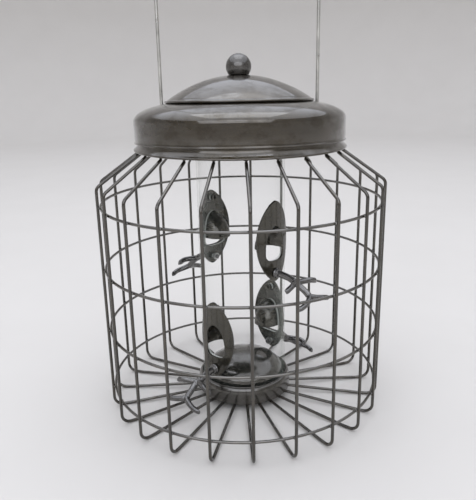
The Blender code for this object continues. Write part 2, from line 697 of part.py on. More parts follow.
def perch_mesh():
    """A cast twig along +X: stud, two collars, a drooping stem and a fork of two twigs at each node."""
    seat = PORT_OUTSIDE + GAP
    first = Vector((FIRST_FORK_REACH, 0, -FIRST_FORK_DROP))
    second = Vector((SECOND_FORK_REACH, 0, -SECOND_FORK_DROP))
    step = PERCH_COLLAR_WIDTH / 16
    turned = [
        (STUD_END_RADIUS, STUD_RADIUS),
        (seat, STUD_RADIUS),
        (seat + step, PERCH_COLLAR_RADIUS),
        (seat + PERCH_COLLAR_WIDTH, PERCH_COLLAR_RADIUS),
        (seat + PERCH_COLLAR_WIDTH + step, PERCH_GROOVE_RADIUS),
        (seat + 1.5 * PERCH_COLLAR_WIDTH, PERCH_GROOVE_RADIUS),
        (seat + 1.5 * PERCH_COLLAR_WIDTH + step, (PERCH_COLLAR_RADIUS + PERCH_GROOVE_RADIUS) / 2),
        (seat + 2.5 * PERCH_COLLAR_WIDTH, (PERCH_COLLAR_RADIUS + PERCH_GROOVE_RADIUS) / 2),
        (seat + 2.5 * PERCH_COLLAR_WIDTH + step, STEM_RADIUS),
        (seat + 4 * PERCH_COLLAR_WIDTH, STEM_RADIUS),
    ]
    path = [Vector((reach, 0, 0)) for reach, _ in turned] + [first, second]
    radii = [radius for _, radius in turned] + [STEM_RADIUS, (STEM_RADIUS + TWIG_RADIUS) / 2]
    perch = link("perch", swept(path, radii, 8, Vector((0, 1, 0))))
    forks = (
        (first, FIRST_TWIG_REACH, FIRST_TWIG_DROP),
        (second, SECOND_TWIG_REACH, SECOND_TWIG_DROP),
    )
    for node, reach, drop in forks:
        for side in (1, -1):
            end = Vector((reach, side * TWIG_SPREAD, -drop))
            bow = Vector((TWIG_BOW, 0, TWIG_BOW / 2))
            knee = node.lerp(end, 0.5) + bow
            twig = swept([node, knee, end], TWIG_RADIUS, 6, Vector((0, 0, 1)), tip=1.0)
            combine(perch, twig, "UNION")
    return baked(perch)


def make_ports(cast, zinc):
    port = port_mesh()
    perch = perch_mesh()
    inner = sqrt(TUBE_INSIDE**2 - (PERCH_NUT_WIDTH / 2) ** 2) - GAP
    place = (inner - PERCH_NUT_THICKNESS, 0, 0)
    nut = hexagon_nut(PERCH_NUT_WIDTH, STUD_RADIUS + GAP, PERCH_NUT_THICKNESS, place, (1, 0, 0))
    for i, (angle, height) in enumerate(port_places()):
        pieces = (
            ("port", port, cast, 0),
            ("perch", perch, cast, STUD_RISE),
            ("perch_nut", nut, zinc, STUD_RISE),
        )
        for name, mesh, material, rise in pieces:
            piece = link(f"{name}_{i + 1}", mesh, material)
            piece.location.z = height + rise
            piece.rotation_euler.z = angle


def make_dish(metal):
    """A spun dish: a straight skirt, a rolled shoulder, and a channel that the tube stands in."""
    channel = TUBE_RADIUS + 2 * GAP
    top = DISH_BOTTOM + DISH_HEIGHT
    shoulder = (DISH_RADIUS - DISH_SHOULDER, top - DISH_SHOULDER)
    under = DISH_SHOULDER - DISH_SHEET
    floor = DISH_FLOOR_TOP - DISH_SHEET
    hole = BASE_SCREW_RADIUS + GAP
    profile = [
        (hole, DISH_FLOOR_TOP),
        (channel, DISH_FLOOR_TOP),
        (channel, top - HEM),
        (channel + HEM / 2, top),
        *arc(shoulder, DISH_SHOULDER, 90, 0, 4),
        (DISH_RADIUS, DISH_BOTTOM),
        (DISH_RADIUS - DISH_SHEET, DISH_BOTTOM),
        *arc(shoulder, under, 0, 60, 2),
        (channel + DISH_SHEET, top - DISH_SHEET - HEM),
        (channel + DISH_SHEET, floor),
        (hole, floor),
    ]
    link("base_dish", lathe(profile, TUBE_STEPS), metal)


def make_baffle(metal):
    """A dome that throws seed outwards to the lowest ports. Its foot is trapped under the tube."""
    spring = BAFFLE_BOTTOM + BAFFLE_SKIRT
    foot = TUBE_RADIUS - GAP
    angles = [radians(a) for a in (72, 54, 36, 18)]
    outer = [(BAFFLE_RADIUS * cos(a), spring + BAFFLE_RISE * sin(a)) for a in angles]
    inside = BAFFLE_RADIUS - BAFFLE_SHEET
    inner = [(inside * cos(a), spring + (BAFFLE_RISE - BAFFLE_SHEET) * sin(a)) for a in reversed(angles[::2])]
    profile = [
        (0, spring + BAFFLE_RISE),
        *outer,
        (BAFFLE_RADIUS, spring),
        (BAFFLE_RADIUS, BAFFLE_BOTTOM + BAFFLE_SHEET),
        (foot, BAFFLE_BOTTOM + BAFFLE_SHEET),
        (foot, BAFFLE_BOTTOM),
        (inside, BAFFLE_BOTTOM),
        (inside, spring),
        *inner,
        (0, spring + BAFFLE_RISE - BAFFLE_SHEET),
    ]
    link("seed_baffle", lathe(profile, TUBE_STEPS, closed=False), metal)


def make_clamp(metal, zinc):
    """A disc under the floor bars, drawn up to the dish by a screw, with its nut inside the baffle."""
    hole = BASE_SCREW_RADIUS + GAP
    top = CLAMP_BOTTOM + CLAMP_SHEET
    profile = [(hole, top), (CLAMP_RADIUS, top), (CLAMP_RADIUS, CLAMP_BOTTOM), (hole, CLAMP_BOTTOM)]
    link("clamp_plate", lathe(profile, 2 * SMALL_STEPS), metal)
    head_top = CLAMP_BOTTOM - GAP
    screw_top = head_top + BASE_SCREW_LENGTH
    screw = [
        (0, screw_top),
        (BASE_SCREW_RADIUS, screw_top),
        (BASE_SCREW_RADIUS, head_top),
        (BASE_SCREW_HEAD_RADIUS, head_top),
        (BASE_SCREW_HEAD_RADIUS - BASE_SCREW_HEAD / 2, head_top - BASE_SCREW_HEAD),
        (0, head_top - BASE_SCREW_HEAD),
    ]
    link("base_screw", lathe(screw, SMALL_STEPS, closed=False), zinc)
    nut = hexagon_nut(BASE_NUT_WIDTH, hole, BASE_NUT_THICKNESS, (0, 0, DISH_FLOOR_TOP + GAP), (0, 0, 1))
    link("base_nut", nut, zinc)


def main():
    clear_scene()
    pewter = paint("pewter_paint", (0.060, 0.052, 0.046), 0.28, 0.55)
    wire_paint = paint("wire_paint", (0.045, 0.039, 0.034), 0.34, 0.45)
    cast = paint("cast_metal", (0.040, 0.038, 0.036), 0.42, 0.60)
    bail_wire = paint("bail_wire", (0.290, 0.280, 0.260), 0.38, 0.85)
    zinc = paint("zinc", (0.420, 0.420, 0.410), 0.36, 0.95)
    clear = paint("clear_plastic", (0.820, 0.880, 0.780), 0.08, 0.0, 0.25)
    cover_carrier = empty("cover_lift", SKIRT_HEIGHT)
    lid_carrier = empty("lid_lift", MOUTH_TOP, cover_carrier)
    make_bars(wire_paint)
    make_hoops(wire_paint)
    make_collar(pewter)
    make_top_plate(pewter)
    make_bail(bail_wire)
    make_cover(pewter, cover_carrier)
    make_lid(pewter, lid_carrier)
    make_knob(cast, zinc, lid_carrier)
    make_band(pewter)
    make_tube(clear)
    make_ports(cast, zinc)
    make_dish(pewter)
    make_baffle(pewter)
    make_clamp(pewter, zinc)


main()
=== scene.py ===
"""Looks of the caged tube feeder: finer wires, spun sheets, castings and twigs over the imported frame."""

import json
from math import cos, pi, radians, sin, sqrt

import bmesh
import bpy
from mathutils import Matrix, Vector, noise


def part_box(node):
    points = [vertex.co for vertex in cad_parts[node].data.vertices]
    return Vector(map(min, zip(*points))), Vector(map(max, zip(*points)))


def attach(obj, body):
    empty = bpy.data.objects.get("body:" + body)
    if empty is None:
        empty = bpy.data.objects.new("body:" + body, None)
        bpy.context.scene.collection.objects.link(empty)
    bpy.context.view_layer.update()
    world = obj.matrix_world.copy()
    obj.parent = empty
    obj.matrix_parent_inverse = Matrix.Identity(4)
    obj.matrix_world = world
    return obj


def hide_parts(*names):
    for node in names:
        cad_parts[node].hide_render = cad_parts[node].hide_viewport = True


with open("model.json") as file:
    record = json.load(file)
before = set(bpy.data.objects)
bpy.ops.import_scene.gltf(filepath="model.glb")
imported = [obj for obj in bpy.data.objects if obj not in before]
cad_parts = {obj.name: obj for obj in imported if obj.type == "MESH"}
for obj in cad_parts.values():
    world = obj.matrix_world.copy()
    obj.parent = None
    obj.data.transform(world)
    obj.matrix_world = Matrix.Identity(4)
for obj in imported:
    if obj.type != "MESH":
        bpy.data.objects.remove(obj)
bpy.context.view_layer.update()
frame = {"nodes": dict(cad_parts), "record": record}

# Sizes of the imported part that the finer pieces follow
MM = 0.001
CAGE_R = 114.85 * MM
BAR_R = 1.25 * MM
BAR_COUNT = 23
BAR_START = radians(2.85)
HOOP_R = 1.1 * MM
HOOP_COUNT = 4
BAIL_HALF = 61 * MM
TUBE_OUT, TUBE_IN = 36 * MM, 34.2 * MM
PORT_OUT, PORT_IN = 38.1 * MM, 36.3 * MM
PORTS = ((45, "port_1"), (225, "port_2"), (-40, "port_3"), (135, "port_4"))
OPENING_WIDTH = 20 * MM
OPENING_FOOT, OPENING_WAIST, OPENING_TOP = 17.5 * MM, 25.6 * MM, 45.5 * MM
HOOD_DEPTH = 16.5 * MM
STUD_HEIGHT, BOSS_HEIGHT = 7 * MM, 59.8 * MM
STUD_HOLE = 1.9 * MM
PERCH_ROOT = 41 * MM

# The real cover sits low and a little askew, its skirt higher in front, and the lid and knob with it.
# The neck under it is drawn shorter, to clear it.
COVER_TILT = radians(-1.7)
COVER_DROP = 2.2 * MM
NECK_SHORT = 7.2 * MM
LID_DROP = 2.2 * MM
KNOB_DROP = 1.5 * MM

# How much lower, in degrees, the limbs of the two back perches hang
PERCH_DROOP = {"perch_2": 10, "perch_4": 6}

# An uneven wire's share of its solid's radius, which keeps its lumps inside the solid
WIRE_SHARE = 0.985


def top_of(node):
    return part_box(node)[1].z


def bottom_of(node):
    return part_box(node)[0].z


def middle_of(node):
    return (bottom_of(node) + top_of(node)) / 2


# Materials

class Nodes:
    """Short ways to build a node material."""

    def __init__(self, name):
        self.mat = bpy.data.materials.new(name)
        self.mat.use_nodes = True
        self.tree = self.mat.node_tree
        self.shader = self.tree.nodes["Principled BSDF"]
        self.coords = self.tree.nodes.new("ShaderNodeTexCoord").outputs["Object"]

    def add(self, kind, **settings):
        node = self.tree.nodes.new("ShaderNode" + kind)
        for key, value in settings.items():
            setattr(node, key, value)
        return node

    def link(self, source, target):
        self.tree.links.new(source, target)

    def stretch(self, scale):
        node = self.add("Mapping")
        node.inputs["Scale"].default_value = scale
        self.link(self.coords, node.inputs["Vector"])
        return node.outputs["Vector"]

    def noise(self, scale, detail, rough=0.5, vector=None):
        node = self.add("TexNoise")
        node.inputs["Scale"].default_value = scale
        node.inputs["Detail"].default_value = detail
        node.inputs["Roughness"].default_value = rough
        self.link(vector or self.coords, node.inputs["Vector"])
        return node.outputs["Fac"]

    def cells(self, scale):
        """Distance from the middle of the nearest cell."""
        node = self.add("TexVoronoi")
        node.inputs["Scale"].default_value = scale
        self.link(self.coords, node.inputs["Vector"])
        return node.outputs["Distance"]

    def ramp(self, value, low, high, a=0.0, b=1.0):
        """Maps value from low..high to a..b, clamped."""
        node = self.add("MapRange")
        node.inputs["From Min"].default_value = low
        node.inputs["From Max"].default_value = high
        node.inputs["To Min"].default_value = a
        node.inputs["To Max"].default_value = b
        self.link(value, node.inputs["Value"])
        return node.outputs["Result"]

    def mix(self, factor, a, b):
        """Mixes two colours, each a tuple or a socket."""
        node = self.add("Mix", data_type="RGBA")
        self.link(factor, node.inputs[0])
        for slot, value in ((6, a), (7, b)):
            if isinstance(value, tuple):
                node.inputs[slot].default_value = (*value, 1.0)
            else:
                self.link(value, node.inputs[slot])
        return node.outputs[2]

    def math(self, operation, a, b=None):
        node = self.add("Math", operation=operation)
        for i, value in enumerate((a, b)):
            if value is None:
                continue
            if isinstance(value, (int, float)):
                node.inputs[i].default_value = value
            else:
                self.link(value, node.inputs[i])
        return node.outputs[0]

    def times(self, a, b):
        return self.math("MULTIPLY", a, b)

    def bump(self, height, distance, strength, before=None):
        node = self.add("Bump")
        node.inputs["Distance"].default_value = distance
        node.inputs["Strength"].default_value = strength
        self.link(height, node.inputs["Height"])
        if before:
            self.link(before, node.inputs["Normal"])
        return node.outputs["Normal"]

    def to(self, socket, source):
        self.link(source, self.shader.inputs[socket])

    def put(self, **values):
        for name, value in values.items():
            socket = self.shader.inputs[name.replace("_", " ")]
            socket.default_value = (*value, 1.0) if isinstance(value, tuple) else value


def shade(colour, factor):
    return tuple(min(1.0, c * factor) for c in colour)


def painted_steel(name, base, dark, light, coat_rough, seed=0, peel=1.0):
    """Glossy metallic pewter paint: flake, faint blotches, specks of dirt, a patchy film, a soft ripple."""
    m = Nodes(name)
    m.put(Metallic=0.9, Coat_IOR=1.82, IOR=1.5, Specular_Tint=(0.92, 0.92, 0.92))
    blotch = m.ramp(m.noise(38 + seed, 4, 0.6), 0.36, 0.66)
    colour = m.mix(blotch, dark, base)
    spark = m.ramp(m.cells(4200), 0.10, 0.45, 1.0, 0.0)
    spark = m.times(spark, m.ramp(m.noise(1500, 1), 0.46, 0.66))
    colour = m.mix(m.times(spark, 0.6), colour, light)
    dirt = m.ramp(m.noise(210, 6, 0.7), 0.67, 0.76)
    m.to("Base Color", m.mix(m.times(dirt, 0.6), colour, shade(base, 0.35)))
    smear = m.noise(22, 5, 0.65, m.stretch((1.0, 1.0, 2.6)))
    m.to("Roughness", m.math("ADD", m.ramp(smear, 0.35, 0.7, 0.17, 0.30), m.times(dirt, 0.3)))
    film = m.ramp(m.noise(62 + seed, 6, 0.62, m.stretch((1.0, 1.0, 1.8))), 0.46, 0.60)
    m.to("Coat Weight", m.math("SUBTRACT", 1.0, m.times(film, 0.34)))
    m.to("Coat Roughness", m.math("ADD", m.times(film, 0.14), coat_rough))
    orange = m.bump(m.noise(700, 2), 0.005 * MM * peel, 0.4)
    ripple = m.bump(m.noise(24, 2, 0.4, m.stretch((1.0, 1.0, 0.5))), 0.5 * MM, 0.42, orange)
    m.to("Normal", ripple)
    m.to("Coat Normal", ripple)
    return m.mat


def wire_paint(name, dark, base, rubbed):
    """The same paint, thicker on wire: faint lumps along it, small runs and worn spots."""
    m = Nodes(name)
    m.put(Metallic=0.9, IOR=1.5, Specular_Tint=(0.3, 0.29, 0.27))
    m.put(Coat_Weight=0.9, Coat_Roughness=0.06, Coat_IOR=1.8)
    worn = m.ramp(m.noise(120, 6, 0.7), 0.62, 0.74)
    colour = m.mix(m.ramp(m.noise(60, 4), 0.35, 0.65), dark, base)
    m.to("Base Color", m.mix(m.times(worn, 0.45), colour, rubbed))
    m.to("Roughness", m.ramp(m.noise(85, 4), 0.3, 0.7, 0.14, 0.28))
    lumps = m.bump(m.noise(420, 3), 0.06 * MM, 0.5)
    m.to("Normal", m.bump(m.noise(75, 3), 0.2 * MM, 0.4, lumps))
    return m.mat


def cast_metal(name, base, gloss, grain, metal):
    """Die casting: fine pitted grain, flow marks, brighter where it has been rubbed."""
    m = Nodes(name)
    m.put(Metallic=metal, IOR=1.5, Specular_Tint=(0.55, 0.55, 0.55))
    m.put(Coat_Weight=0.6, Coat_Roughness=0.1, Coat_IOR=1.75)
    flow = m.ramp(m.noise(95, 5, 0.6, m.stretch((1.0, 1.0, 0.4))), 0.35, 0.68)
    colour = m.mix(flow, shade(base, 0.72), shade(base, 1.2))
    rubbed = m.times(m.ramp(m.noise(300, 6, 0.7), 0.60, 0.72), 0.4)
    m.to("Base Color", m.mix(rubbed, colour, shade(base, 2.4)))
    m.to("Roughness", m.ramp(m.noise(160, 4), 0.3, 0.7, gloss, gloss + 0.18))
    pits = m.bump(m.ramp(m.cells(1500), 0.0, 0.35), 0.05 * MM * grain, 0.6)
    m.to("Normal", m.bump(m.noise(240, 4, 0.6), 0.3 * MM * grain, 0.4, pits))
    return m.mat


def plain_steel(name, base, rough):
    """Bare or zinc-plated steel with grey bloom and light scratches along it."""
    m = Nodes(name)
    m.put(Metallic=0.9, IOR=1.5)
    bloom = m.ramp(m.noise(70, 6, 0.65), 0.35, 0.68)
    colour = m.mix(bloom, shade(base, 0.62), shade(base, 1.12))
    spots = m.ramp(m.noise(330, 5, 0.7), 0.66, 0.74)
    m.to("Base Color", m.mix(m.times(spots, 0.6), colour, (0.12, 0.09, 0.06)))
    m.to("Roughness", m.ramp(m.noise(140, 4), 0.3, 0.7, rough, rough + 0.18))
    scratch = m.noise(800, 3, 0.6, m.stretch((1.0, 1.0, 0.12)))
    m.to("Normal", m.bump(scratch, 0.05 * MM, 0.5))
    return m.mat


def cut_edges(m):
    """1 on the faces that cross the tube's wall and 0 on its round faces: the mask for the painted highlight
    on the cut edges.
    """
    flat = m.add("VectorMath", operation="MULTIPLY")
    m.link(m.coords, flat.inputs[0])
    flat.inputs[1].default_value = (1, 1, 0)
    radial = m.add("VectorMath", operation="NORMALIZE")
    m.link(flat.outputs[0], radial.inputs[0])
    across = m.add("VectorMath", operation="DOT_PRODUCT")
    m.link(radial.outputs[0], across.inputs[0])
    m.link(m.add("TexCoord").outputs["Normal"], across.inputs[1])
    return m.ramp(m.math("ABSOLUTE", across.outputs["Value"]), 0.35, 0.85, 1.0, 0.0)


def clear_plastic(name):
    """Clear tube: almost nothing face on, a painted pale reflection at grazing angles and a painted
    highlight on its cut edges, with scratches and drips.
    """
    m = Nodes(name)
    m.put(IOR=1.5, Specular_IOR_Level=0.8)
    facing = m.add("LayerWeight")
    facing.inputs["Blend"].default_value = 0.22
    grazing = m.math("POWER", facing.outputs["Facing"], 2.2)
    cut = cut_edges(m)
    scratch = m.ramp(m.noise(95, 7, 0.75, m.stretch((6.0, 6.0, 0.35))), 0.66, 0.74)
    drips = m.ramp(m.noise(120, 6, 0.7, m.stretch((2.4, 2.4, 0.2))), 0.70, 0.80)
    marks = m.math("ADD", m.times(scratch, 0.07), m.times(drips, 0.07))
    # Alpha rises at grazing angles and on the cut edges, a painted reflection and a painted highlight, on
    # top of the real scratches and drips
    alpha = m.math("ADD", m.times(grazing, 0.5), marks)
    alpha = m.math("ADD", alpha, m.times(cut, 0.55))
    m.to("Alpha", m.math("ADD", alpha, 0.010))
    # Painted reflection: a pale tint at grazing angles, greener where most grazing, and a near white painted
    # highlight on the cut edges
    painted_grazing_reflection = m.mix(grazing, (0.62, 0.66, 0.60), (0.56, 0.64, 0.46))
    m.to("Base Color", m.mix(cut, painted_grazing_reflection, (0.86, 0.90, 0.84)))
    m.to("Roughness", m.ramp(m.noise(30, 5, 0.6), 0.4, 0.7, 0.03, 0.16))
    m.to("Normal", m.bump(m.noise(60, 3, 0.5, m.stretch((1.0, 1.0, 0.3))), 0.3 * MM, 0.3))
    return m.mat


PEWTER = painted_steel("pewter_look", base=(0.036, 0.025, 0.009), dark=(0.026, 0.018, 0.006),
                       light=(0.24, 0.19, 0.12), coat_rough=0.04)
PEWTER_DISH = painted_steel("pewter_dish_look", base=(0.052, 0.046, 0.034), dark=(0.040, 0.035, 0.026),
                            light=(0.09, 0.085, 0.075), coat_rough=0.12, seed=7, peel=0.0)
WIRE = wire_paint("wire_paint_look", dark=(0.026, 0.021, 0.013), base=(0.048, 0.039, 0.025),
                  rubbed=(0.15, 0.12, 0.09))
# The hoops wear the bars' wire paint made lighter: a painted highlight that stands for the bright sky along
# their tops
HOOP_HIGHLIGHT_PAINT = wire_paint("hoop_highlight_paint_look", dark=(0.070, 0.064, 0.054), base=(0.115, 0.105, 0.088),
                  rubbed=(0.22, 0.19, 0.16))
CAST = cast_metal("cast_port_look", base=(0.048, 0.043, 0.030), gloss=0.16, grain=0.5, metal=0.85)
TWIG = cast_metal("cast_twig_look", base=(0.135, 0.130, 0.125), gloss=0.12, grain=0.25, metal=0.85)
KNOB = cast_metal("cast_knob_look", base=(0.088, 0.082, 0.074), gloss=0.18, grain=1.2, metal=0.7)
BAIL = plain_steel("bail_look", base=(0.55, 0.54, 0.50), rough=0.26)
ZINC = plain_steel("zinc_look", base=(0.50, 0.50, 0.49), rough=0.28)
CLEAR = clear_plastic("clear_plastic_look")

LOOKS = {"wire_paint": WIRE, "pewter_paint": PEWTER, "cast_metal": CAST, "bail_wire": BAIL, "zinc": ZINC,
         "clear_plastic": CLEAR}
SLOT = {s["node"]: s["material_slot"] for s in frame["record"]["subparts"]}
for node_name, node in frame["nodes"].items():
    node.data.materials.clear()
    node.data.materials.append(LOOKS[SLOT[node_name]])


# Objects and meshes

def new_object(name, data):
    made = bpy.data.objects.new(name, data)
    bpy.context.scene.collection.objects.link(made)
    return made


def piece(name, mesh, look, body, node, angle=40):
    """A finer piece that rides on a body and stands for a CAD node, sharp where it bends past an angle."""
    mesh.shade_smooth()
    mesh.set_sharp_from_angle(angle=radians(angle))
    mesh.materials.append(look)
    made = new_object(name, mesh)
    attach(made, body)
    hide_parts(node)
    return made


def spun_piece(node, mesh, look, body="feeder"):
    """A piece of spun sheet, smooth but for its edges."""
    return piece(f"{node}_spun", mesh, look, body, node, angle=50)


def to_mesh(shape):
    bmesh.ops.recalc_face_normals(shape, faces=shape.faces)
    mesh = bpy.data.meshes.new("shape")
    shape.to_mesh(mesh)
    shape.free()
    return mesh


def arc(cx, cz, radius, start, end, steps):
    turns = [radians(start + (end - start) * i / steps) for i in range(steps + 1)]
    return [(cx + radius * cos(a), cz + radius * sin(a)) for a in turns]


def circle(radius, height, steps):
    turns = [2 * pi * i / steps for i in range(steps)]
    return [(radius * cos(a), radius * sin(a), height) for a in turns]


def turned(profile, steps, closed=True):
    """Turns (radius, height) points about Z."""
    shape = bmesh.new()
    rings = []
    for r, z in profile:
        places = circle(r, z, steps) if r > 1e-7 else [(0, 0, z)]
        rings.append([shape.verts.new(p) for p in places])
    pairs = list(zip(rings, rings[1:]))
    if closed:
        pairs.append((rings[-1], rings[0]))
    for low, high in pairs:
        for i in range(steps):
            corners = [low[i % len(low)], low[(i + 1) % len(low)],
                       high[(i + 1) % len(high)], high[i % len(high)]]
            corners = [v for k, v in enumerate(corners) if v not in corners[:k]]
            if len(corners) > 2:
                shape.faces.new(corners)
    return to_mesh(shape)


def rounded(corners, bends, steps):
    """Flat points with a round bend at each corner between the first and the last."""
    path = [Vector(corners[0])]
    for before, corner, after, bend in zip(corners, corners[1:], corners[2:], bends):
        corner = Vector(corner)
        back = (Vector(before) - corner).normalized()
        ahead = (Vector(after) - corner).normalized()
        half = back.angle(ahead) / 2
        centre = corner + (back + ahead).normalized() * bend / sin(half)
        start = corner + back * bend * cos(half) / sin(half) - centre
        turn = 1 if back.x * ahead.y - back.y * ahead.x < 0 else -1
        for i in range(steps + 1):
            path.append(centre + Matrix.Rotation(turn * (pi - 2 * half) * i / steps, 2) @ start)
    path.append(Vector(corners[-1]))
    return path


def domed_end(tip, inner, radius):
    """Points and radii that round off a wire's end, from the wire to the tip."""
    along = (tip - inner).normalized()
    turns = (0.0, 0.6, 1.1, 1.4)
    return [tip - along * radius * (1 - sin(a)) for a in turns], [radius * cos(a) for a in turns]


def wire(path, radii, across, sides, closed=False, wobble=0.0, seed=0.0):
    """A round wire along 3D points, with domed ends and an optional unevenness of its radius."""
    lump_scale, side_step = 160, 0.35
    points = [Vector(p) for p in path]
    radii = list(radii) if hasattr(radii, "__len__") else [radii] * len(points)
    if not closed:
        first_points, first_radii = domed_end(points[0], points[1], radii[0])
        last_points, last_radii = domed_end(points[-1], points[-2], radii[-1])
        points = [*reversed(first_points), *points[1:-1], *last_points]
        radii = [*reversed(first_radii), *radii[1:-1], *last_radii]
    shape = bmesh.new()
    loops = []
    count = len(points)
    across = Vector(across)
    for i, point in enumerate(points):
        before = points[i - 1] if i or closed else None
        after = points[(i + 1) % count] if i < count - 1 or closed else None
        into = (point - before).normalized() if before is not None else (after - point).normalized()
        out = (after - point).normalized() if after is not None else into
        along = (into + out).normalized()
        side = (across - along * along.dot(across)).normalized()
        up = side.cross(along)
        ring = []
        for k in range(sides):
            turn = 2 * pi * k / sides
            push = radii[i]
            if wobble:
                push *= 1 + wobble * noise.noise(point * lump_scale + Vector((seed, k * side_step, 0)))
            ring.append(shape.verts.new(point + push * (side * cos(turn) + up * sin(turn))))
        loops.append(ring)
    pairs = list(zip(loops, loops[1:]))
    if closed:
        pairs.append((loops[-1], loops[0]))
    for low, high in pairs:
        for k in range(sides):
            shape.faces.new((low[k], low[k - 1], high[k - 1], high[k]))
    if not closed:
        shape.faces.new(loops[0])
        shape.faces.new(loops[-1])
    return to_mesh(shape)


def lofted(sections):
    """Joins closed sections of the same number of points, with flat ends."""
    shape = bmesh.new()
    loops = [[shape.verts.new(p) for p in section] for section in sections]
    for near, far in zip(loops, loops[1:]):
        for k in range(len(near)):
            shape.faces.new((near[k], near[k - 1], far[k - 1], far[k]))
    shape.faces.new(loops[0])
    shape.faces.new(loops[-1])
    return to_mesh(shape)


def rod(radius, height, near, far, sides=24):
    """A straight rod that points out from the axis at a height."""
    along = Vector((1, 0, 0))
    side = along.orthogonal().normalized()
    up = along.cross(side)
    turns = [2 * pi * k / sides for k in range(sides)]
    rim = [radius * (side * cos(t) + up * sin(t)) for t in turns]
    return lofted([[Vector((reach, 0, height)) + offset for offset in rim] for reach in (near, far)])


def blob(place, size, seed, squash=(1, 1, 1)):
    """A small uneven bead of weld or paint."""
    unevenness, lump_scale = 0.16, 900
    shape = bmesh.new()
    bmesh.ops.create_icosphere(shape, subdivisions=2, radius=size)
    for v in shape.verts:
        v.co *= 1 + unevenness * noise.noise(v.co * lump_scale + Vector((seed, 0, 0)))
        v.co = Vector(v.co[i] * squash[i] for i in range(3)) + Vector(place)
    return to_mesh(shape)


def joined(meshes):
    shape = bmesh.new()
    for mesh in meshes:
        shape.from_mesh(mesh)
    made = bpy.data.meshes.new("joined")
    shape.to_mesh(made)
    shape.free()
    return made


def mended(mesh):
    """Merges doubled points and drops faces without area, which a cut can leave."""
    close, closer = 3e-6, 1e-6
    shape = bmesh.new()
    shape.from_mesh(mesh)
    bmesh.ops.remove_doubles(shape, verts=shape.verts, dist=close)
    bmesh.ops.dissolve_degenerate(shape, edges=shape.edges, dist=close)
    bmesh.ops.triangulate(shape, faces=[f for f in shape.faces if len(f.verts) > 4])
    bmesh.ops.dissolve_degenerate(shape, edges=shape.edges, dist=closer)
    shape.to_mesh(mesh)
    shape.free()
    return mesh


def add_boolean(obj, mesh, operation):
    tool = new_object("tool", mesh)
    change = obj.modifiers.new("change", "BOOLEAN")
    change.object = tool
    change.operation = operation
    change.solver = "EXACT"
    return tool


def bake(obj):
    """Applies the modifiers and removes their tools."""
    bpy.context.view_layer.update()
    graph = bpy.context.evaluated_depsgraph_get()
    mesh = bpy.data.meshes.new_from_object(obj.evaluated_get(graph))
    tools = [m.object for m in obj.modifiers if m.type == "BOOLEAN"]
    obj.modifiers.clear()
    obj.data = mended(mesh)
    for tool in tools:
        bpy.data.objects.remove(tool)


def baked_mesh(obj):
    bake(obj)
    mesh = obj.data
    bpy.data.objects.remove(obj)
    return mesh


def cut_or_add(base, steps):
    """Combines meshes one after another with the first."""
    obj = new_object("base", base)
    for mesh, operation in steps:
        add_boolean(obj, mesh, operation)
    return baked_mesh(obj)


def cast(mesh, voxel, rounds):
    """Rounds a mesh's edges as a casting's: voxel remesh, then smoothing."""
    obj = new_object("cast", mesh)
    remesh = obj.modifiers.new("remesh", "REMESH")
    remesh.mode = "VOXEL"
    remesh.voxel_size = voxel
    smooth = obj.modifiers.new("smooth", "SMOOTH")
    smooth.factor = 0.5
    smooth.iterations = rounds
    return baked_mesh(obj)


def drilled(obj, radius, half=BAIL_HALF):
    """Two upright holes for the bail's wires, turned so that their corners miss the edges of the facets."""
    height, depth, turn = 240 * MM, 90 * MM, 0.07
    for side in (1, -1):
        shape = bmesh.new()
        bmesh.ops.create_cone(shape, cap_ends=True, segments=24, radius1=radius, radius2=radius, depth=depth)
        cutter = add_boolean(obj, to_mesh(shape), "DIFFERENCE")
        cutter.location = (side * half, 0, height)
        cutter.rotation_euler.z = turn
    bake(obj)


# Cage and collar

def bar_turn(k):
    """The angle of a bar round the axis."""
    return BAR_START + 2 * pi * k / BAR_COUNT - pi / 2


def bar_path():
    """A bar's bent wire in the XZ plane: under the collar, over the shoulder, down and in under the dish."""
    collar_end = (79.8 * MM, 213.6 * MM)
    shoulder = 188.7 * MM
    flat_end, dish_edge, hub_end = 101.5 * MM, 41.6 * MM, 27.2 * MM
    dish_foot = 4.25 * MM
    span = 9 * MM
    corners = [collar_end, (CAGE_R, shoulder), (CAGE_R, BAR_R), (flat_end, BAR_R), (dish_edge, dish_foot)]
    bent = rounded(corners, (6 * MM, 7.5 * MM, 30 * MM), 9)
    route = [Vector((r, 0, z)) for r, z in [*bent, (hub_end, dish_foot)]]
    path = []
    for a, b in zip(route, route[1:]):
        parts = max(1, int((b - a).length / span))
        path += [a.lerp(b, i / parts) for i in range(parts)]
    return [*path, route[-1]]


def make_bars():
    path = bar_path()
    for i in range(BAR_COUNT):
        name = f"bar_{i + 1:02d}"
        mesh = wire(path, BAR_R * WIRE_SHARE, (0, 1, 0), 14, wobble=0.02, seed=i * 3.1)
        mesh.transform(Matrix.Rotation(bar_turn(i), 4, "Z"))
        piece(f"{name}_wire", mesh, WIRE, "feeder", name)


